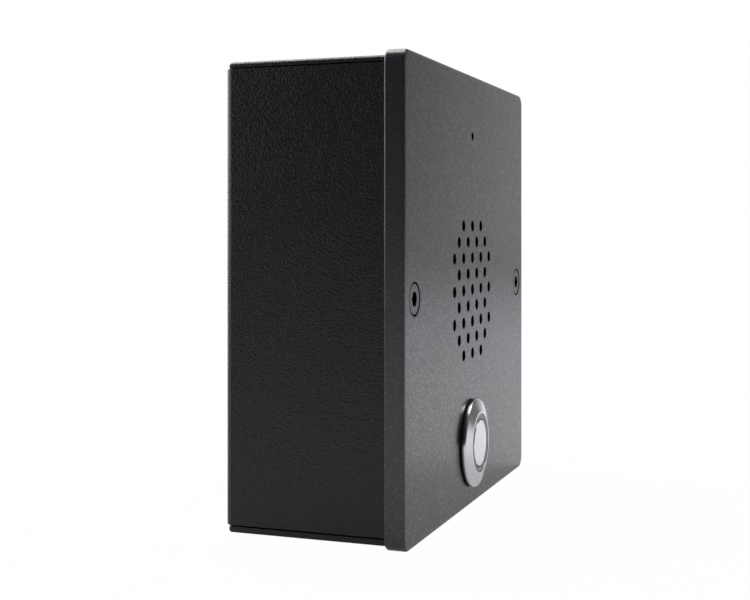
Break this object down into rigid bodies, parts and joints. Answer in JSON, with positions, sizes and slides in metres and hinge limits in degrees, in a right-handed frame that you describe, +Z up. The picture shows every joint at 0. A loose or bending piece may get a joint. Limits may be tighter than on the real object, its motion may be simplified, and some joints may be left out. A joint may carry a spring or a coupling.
{
  "type": "audio intercom panel",
  "caption": "Square wall-hung audio intercom: folded steel box, thick front panel with a drilled speaker grille, a microphone hole, security screws and a lit push button.",
  "frame": {"origin": "centre of the rear face of the box, on the wall, at the centre of the four wall screws", "axes": "+Y into the wall, so the panel faces -Y; +X to the right of someone who faces the panel; +Z up"},
  "size_m": [0.12, 0.0502, 0.12],
  "materials": {
    "box_coat": "black structured powder coat",
    "panel_coat": "fine matt dark grey powder coat",
    "screw_coat": "matt dark coat",
    "stainless": "turned stainless steel",
    "plated_steel": "bright zinc plate",
    "ring_plastic": "frosted translucent plastic",
    "black_rubber": "matt black rubber",
    "black_plastic": "matt black plastic",
    "cloth": "black woven acoustic cloth",
    "foam": "dark closed-cell foam",
    "ferrite": "dark grey ferrite",
    "coil_copper": "lacquered copper wire",
    "cone_film": "pressed black film",
    "brass_plate": "bright brass",
    "strip_board": "brown laminate",
    "board_green": "green solder mask",
    "block_green": "green moulded plastic",
    "capacitor_sleeve": "dark blue shrink sleeve",
    "trimmer_blue": "blue moulded plastic",
    "ivory_plastic": "ivory moulded plastic",
    "lead_red": "red lead insulation",
    "lead_white": "white lead insulation",
    "lead_black": "black lead insulation"
  },
  "bodies": {
    "panel": {"back_box": "box_coat", "cable_bushing": "black_rubber", "panel_tabs": "box_coat", "panel_nuts": "plated_steel", "front_panel": "panel_coat", "panel_screws": "screw_coat", "bezel_seal": "black_rubber", "button_housing": "stainless", "light_ring": "ring_plastic", "button_washer": "plated_steel", "button_nut": "plated_steel", "contact_block": "black_plastic", "button_terminals": "brass_plate", "grille_cloth": "cloth", "speaker_gasket": "foam", "speaker_frame": "plated_steel", "speaker_plate": "plated_steel", "speaker_magnet": "ferrite", "speaker_yoke": "plated_steel", "speaker_tag_strip": "strip_board", "speaker_tags": "brass_plate", "speaker_clamp": "plated_steel", "clamp_spacers": "plated_steel", "clamp_screws": "plated_steel", "mic_boot": "black_rubber", "mic_capsule": "plated_steel", "board_standoffs": "plated_steel", "control_board": "board_green", "board_screws": "plated_steel", "terminal_block": "block_green", "terminal_screws": "plated_steel", "capacitors": "capacitor_sleeve", "amplifier_chip": "black_plastic", "volume_trimmer": "trimmer_blue", "microphone_trimmer": "trimmer_blue", "lead_headers": "ivory_plastic", "speaker_leads": "lead_red", "microphone_leads": "lead_white", "button_leads": "lead_black"},
    "button": {"button_actuator": "stainless", "return_spring": "plated_steel"},
    "cone": {"speaker_cone": "cone_film", "dust_cap": "cone_film", "voice_coil": "coil_copper", "speaker_surround": "black_rubber"},
    "volume": {"volume_rotor": "ivory_plastic"},
    "microphone_level": {"microphone_rotor": "ivory_plastic"}
  },
  "joints": [
    {"name": "button_press", "type": "slide", "parent": "panel", "child": "button", "axis": [0, 1, 0], "range_m": [0, 0.0018], "stiffness_N_per_m": 900, "springref_m": -0.0016, "deforming": ["return_spring"]},
    {"name": "cone_move", "type": "slide", "parent": "panel", "child": "cone", "axis": [0, -1, 0], "range_m": [-0.0005, 0.0005], "stiffness_N_per_m": 2000, "deforming": ["speaker_surround"]},
    {"name": "volume_turn", "type": "hinge", "parent": "panel", "child": "volume", "pos_m": [-0.026, -0.0126, 0.012], "axis": [0, -1, 0], "range_deg": [-135, 135]},
    {"name": "microphone_level_turn", "type": "hinge", "parent": "panel", "child": "microphone_level", "pos_m": [0.026, -0.0126, 0.012], "axis": [0, -1, 0], "range_deg": [-135, 135]}
  ]
}
